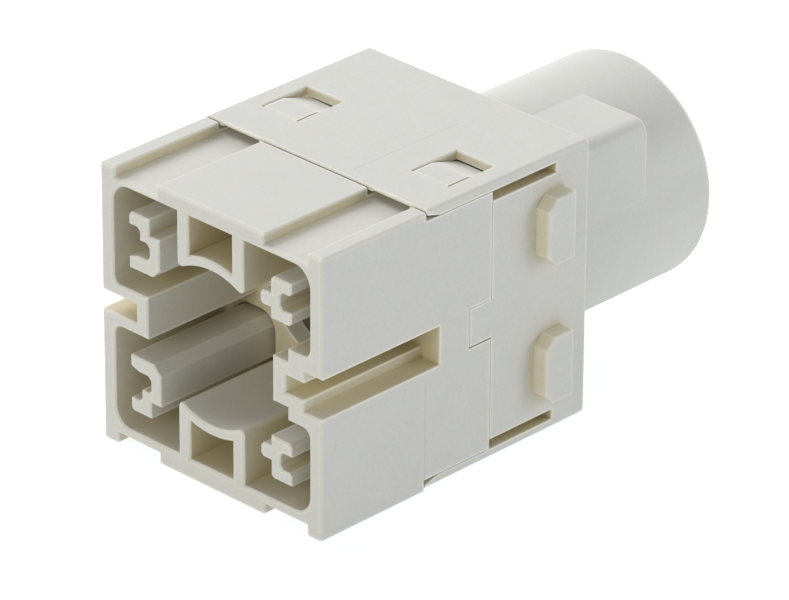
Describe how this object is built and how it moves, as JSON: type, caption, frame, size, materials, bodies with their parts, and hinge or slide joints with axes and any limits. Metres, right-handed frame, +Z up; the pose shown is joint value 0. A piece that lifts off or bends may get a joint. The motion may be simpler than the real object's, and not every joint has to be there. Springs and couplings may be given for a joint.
{
  "type": "heavy duty connector insert",
  "caption": "Double-width power insert for a rectangular heavy duty connector: an open mating box with guide posts, snapped to a rear box with locking lugs and a round cable collar.",
  "frame": {"origin": "contact axis at the mating face", "axes": "+Y from the mating face towards the cable, along the contact axis; +Z up; +X to the side with the stepped channel"},
  "size_m": [0.0326, 0.0569, 0.0294],
  "materials": {
    "housing_plastic": "matte"
  },
  "bodies": {
    "root": {"front_body": "housing_plastic", "rear_body": "housing_plastic"}
  },
  "joints": []
}
